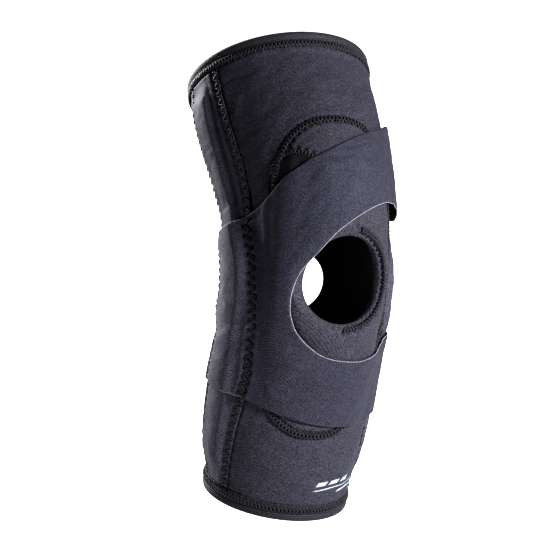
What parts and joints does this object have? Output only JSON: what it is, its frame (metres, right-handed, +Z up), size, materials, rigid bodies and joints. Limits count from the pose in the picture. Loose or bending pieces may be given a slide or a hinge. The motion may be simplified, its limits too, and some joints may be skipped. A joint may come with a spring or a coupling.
{
  "type": "knee brace",
  "caption": "Right-leg hinged knee sleeve, bent at rest, with an open kneecap window, J-shaped pad, hinge pockets and a two-legged wrap strap.",
  "frame": {"origin": "centre of the shin cuff's bottom rim", "axes": "+Z up along the shin's axis, -Y to the front of the leg, -X to the outer (lateral) side of a right knee; the thigh leans back 42 degrees towards +Y"},
  "size_m": [0.154, 0.2235, 0.3404],
  "materials": {
    "sleeve_knit": "stretch knit face over neoprene-like foam",
    "edge_tape": "stitched stretch tape",
    "pad_foam": "closed-cell foam",
    "cover_cloth": "stretch knit",
    "strap_loop_cloth": "brushed loop",
    "hook_tape": "hook fastener",
    "pocket_cloth": "woven stretch",
    "hinge_aluminium": "satin anodised",
    "hinge_plate": "brushed",
    "hinge_pins": "turned",
    "washer_nylon": "natural nylon"
  },
  "bodies": {
    "knee": {"knee_sleeve": "sleeve_knit", "kneecap_ring": "edge_tape", "back_opening_binding": "edge_tape", "buttress_pad": "pad_foam", "buttress_cover": "cover_cloth", "strap_saddle": "strap_loop_cloth", "lateral_pocket_cap": "pocket_cloth", "lateral_hinge_inner_plate": "hinge_plate", "lateral_hinge_outer_plate": "hinge_plate", "lateral_hinge_rivets": "hinge_pins", "lateral_hinge_washers": "washer_nylon", "lateral_hinge_stop_pins": "hinge_pins", "medial_pocket_cap": "pocket_cloth", "medial_hinge_inner_plate": "hinge_plate", "medial_hinge_outer_plate": "hinge_plate", "medial_hinge_rivets": "hinge_pins", "medial_hinge_washers": "washer_nylon", "medial_hinge_stop_pins": "hinge_pins"},
    "thigh": {"thigh_front_panel": "sleeve_knit", "thigh_back_panel": "sleeve_knit", "thigh_cuff_binding": "edge_tape", "strap_upper_leg": "strap_loop_cloth", "lateral_pocket_thigh": "pocket_cloth", "lateral_upper_arm": "hinge_aluminium", "medial_pocket_thigh": "pocket_cloth", "medial_upper_arm": "hinge_aluminium"},
    "shin": {"shin_front_panel": "sleeve_knit", "shin_back_panel": "sleeve_knit", "shin_cuff_binding": "edge_tape", "strap_lower_leg": "strap_loop_cloth", "lateral_pocket_shin": "pocket_cloth", "lateral_lower_arm": "hinge_aluminium", "medial_pocket_shin": "pocket_cloth", "medial_lower_arm": "hinge_aluminium"},
    "upper_tab": {"strap_upper_tab": "strap_loop_cloth", "upper_hook_patch": "hook_tape"},
    "lower_tab": {"strap_lower_tab": "strap_loop_cloth", "lower_hook_patch": "hook_tape"}
  },
  "joints": [
    {"name": "thigh_pivot", "type": "hinge", "parent": "knee", "child": "thigh", "pos_m": [0, 0.0086, 0.17829], "axis": [-1, 0, 0], "range_deg": [-21, 34], "stiffness_Nm_per_rad": 8, "deforming": ["knee_sleeve", "kneecap_ring", "back_opening_binding", "buttress_cover", "buttress_pad", "strap_upper_leg"]},
    {"name": "shin_pivot", "type": "hinge", "parent": "knee", "child": "shin", "pos_m": [0, 0, 0.15588], "axis": [1, 0, 0], "range_deg": [-21, 34], "stiffness_Nm_per_rad": 8, "deforming": ["strap_saddle", "strap_lower_leg"]},
    {"name": "upper_tab_peel", "type": "hinge", "parent": "thigh", "child": "upper_tab", "pos_m": [0.07289, 0.0557, 0.23059], "axis": [-0.1113, -0.665, -0.7385], "range_deg": [0, 80]},
    {"name": "lower_tab_peel", "type": "hinge", "parent": "shin", "child": "lower_tab", "pos_m": [0.0683, 0, 0.1], "axis": [0, 0, -1], "range_deg": [0, 80]}
  ],
  "couplings": [
    {"joint": "shin_pivot", "follows": "thigh_pivot", "ratio": 1}
  ]
}
